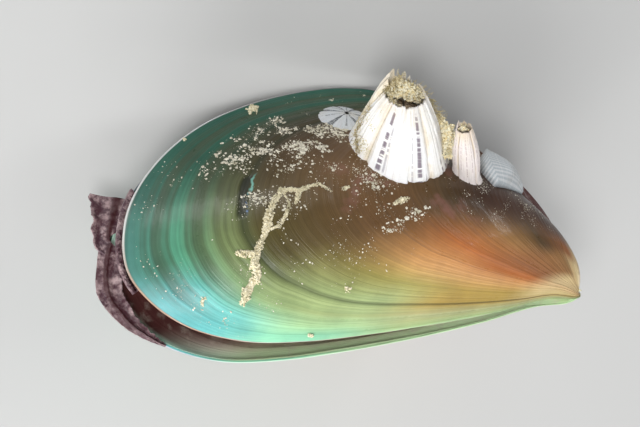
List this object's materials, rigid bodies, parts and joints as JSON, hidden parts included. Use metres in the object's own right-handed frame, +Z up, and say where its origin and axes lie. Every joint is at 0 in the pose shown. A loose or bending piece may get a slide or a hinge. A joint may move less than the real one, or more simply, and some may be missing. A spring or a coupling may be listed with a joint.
{
  "type": "mussel shell",
  "caption": "Both valves of a green mussel shell, slightly agape and lying on one side, overgrown with barnacles and crusts.",
  "frame": {"origin": "middle of the shell's bounding box, on the plane it lies on", "axes": "+Z up, +X towards the beak end, -Y towards the gape; the shell lies on its left valve, rolled back on the hinge side"},
  "size_m": [0.0805, 0.0483, 0.032],
  "materials": {
    "right_valve_shell": "glossy horny skin over shell, green and olive bands, cream at the beak",
    "left_valve_shell": "glossy, pale green outside with a purple-brown lip, pearly inside",
    "ligament": "dark brown, horny",
    "horny_frill": "mottled maroon and pinkish white, thin and horny",
    "barnacle_wall": "matt chalky white with purple stripes",
    "young_barnacle_wall": "matt grey white with dark grooves",
    "barnacle_lid": "brownish, cross-grooved",
    "fan_shell": "blue-grey, finely ribbed",
    "crust": "rough beige crust"
  },
  "bodies": {
    "root": {"hinge_ligament": "ligament", "large_barnacle_carina": "barnacle_wall", "large_barnacle_carinolateral_left": "barnacle_wall", "large_barnacle_carinolateral_right": "barnacle_wall", "large_barnacle_floor": "barnacle_wall", "large_barnacle_lateral_left": "barnacle_wall", "large_barnacle_lateral_right": "barnacle_wall", "large_barnacle_rostrum": "barnacle_wall", "large_barnacle_scutum_left": "barnacle_lid", "large_barnacle_scutum_right": "barnacle_lid", "large_barnacle_tergum_left": "barnacle_lid", "large_barnacle_tergum_right": "barnacle_lid", "left_frill": "horny_frill", "left_valve": "left_valve_shell", "narrow_barnacle_carina": "barnacle_wall", "narrow_barnacle_carinolateral_left": "barnacle_wall", "narrow_barnacle_carinolateral_right": "barnacle_wall", "narrow_barnacle_floor": "barnacle_wall", "narrow_barnacle_lateral_left": "barnacle_wall", "narrow_barnacle_lateral_right": "barnacle_wall", "narrow_barnacle_rostrum": "barnacle_wall", "narrow_barnacle_scutum_left": "barnacle_lid", "narrow_barnacle_scutum_right": "barnacle_lid", "narrow_barnacle_tergum_left": "barnacle_lid", "narrow_barnacle_tergum_right": "barnacle_lid", "ribbed_fan_shell": "fan_shell", "right_frill": "horny_frill", "right_valve": "right_valve_shell", "worm_tube": "crust", "young_barnacle_carina": "young_barnacle_wall", "young_barnacle_carinolateral_left": "young_barnacle_wall", "young_barnacle_carinolateral_right": "young_barnacle_wall", "young_barnacle_lateral_left": "young_barnacle_wall", "young_barnacle_lateral_right": "young_barnacle_wall", "young_barnacle_rostrum": "young_barnacle_wall"}
  },
  "joints": []
}
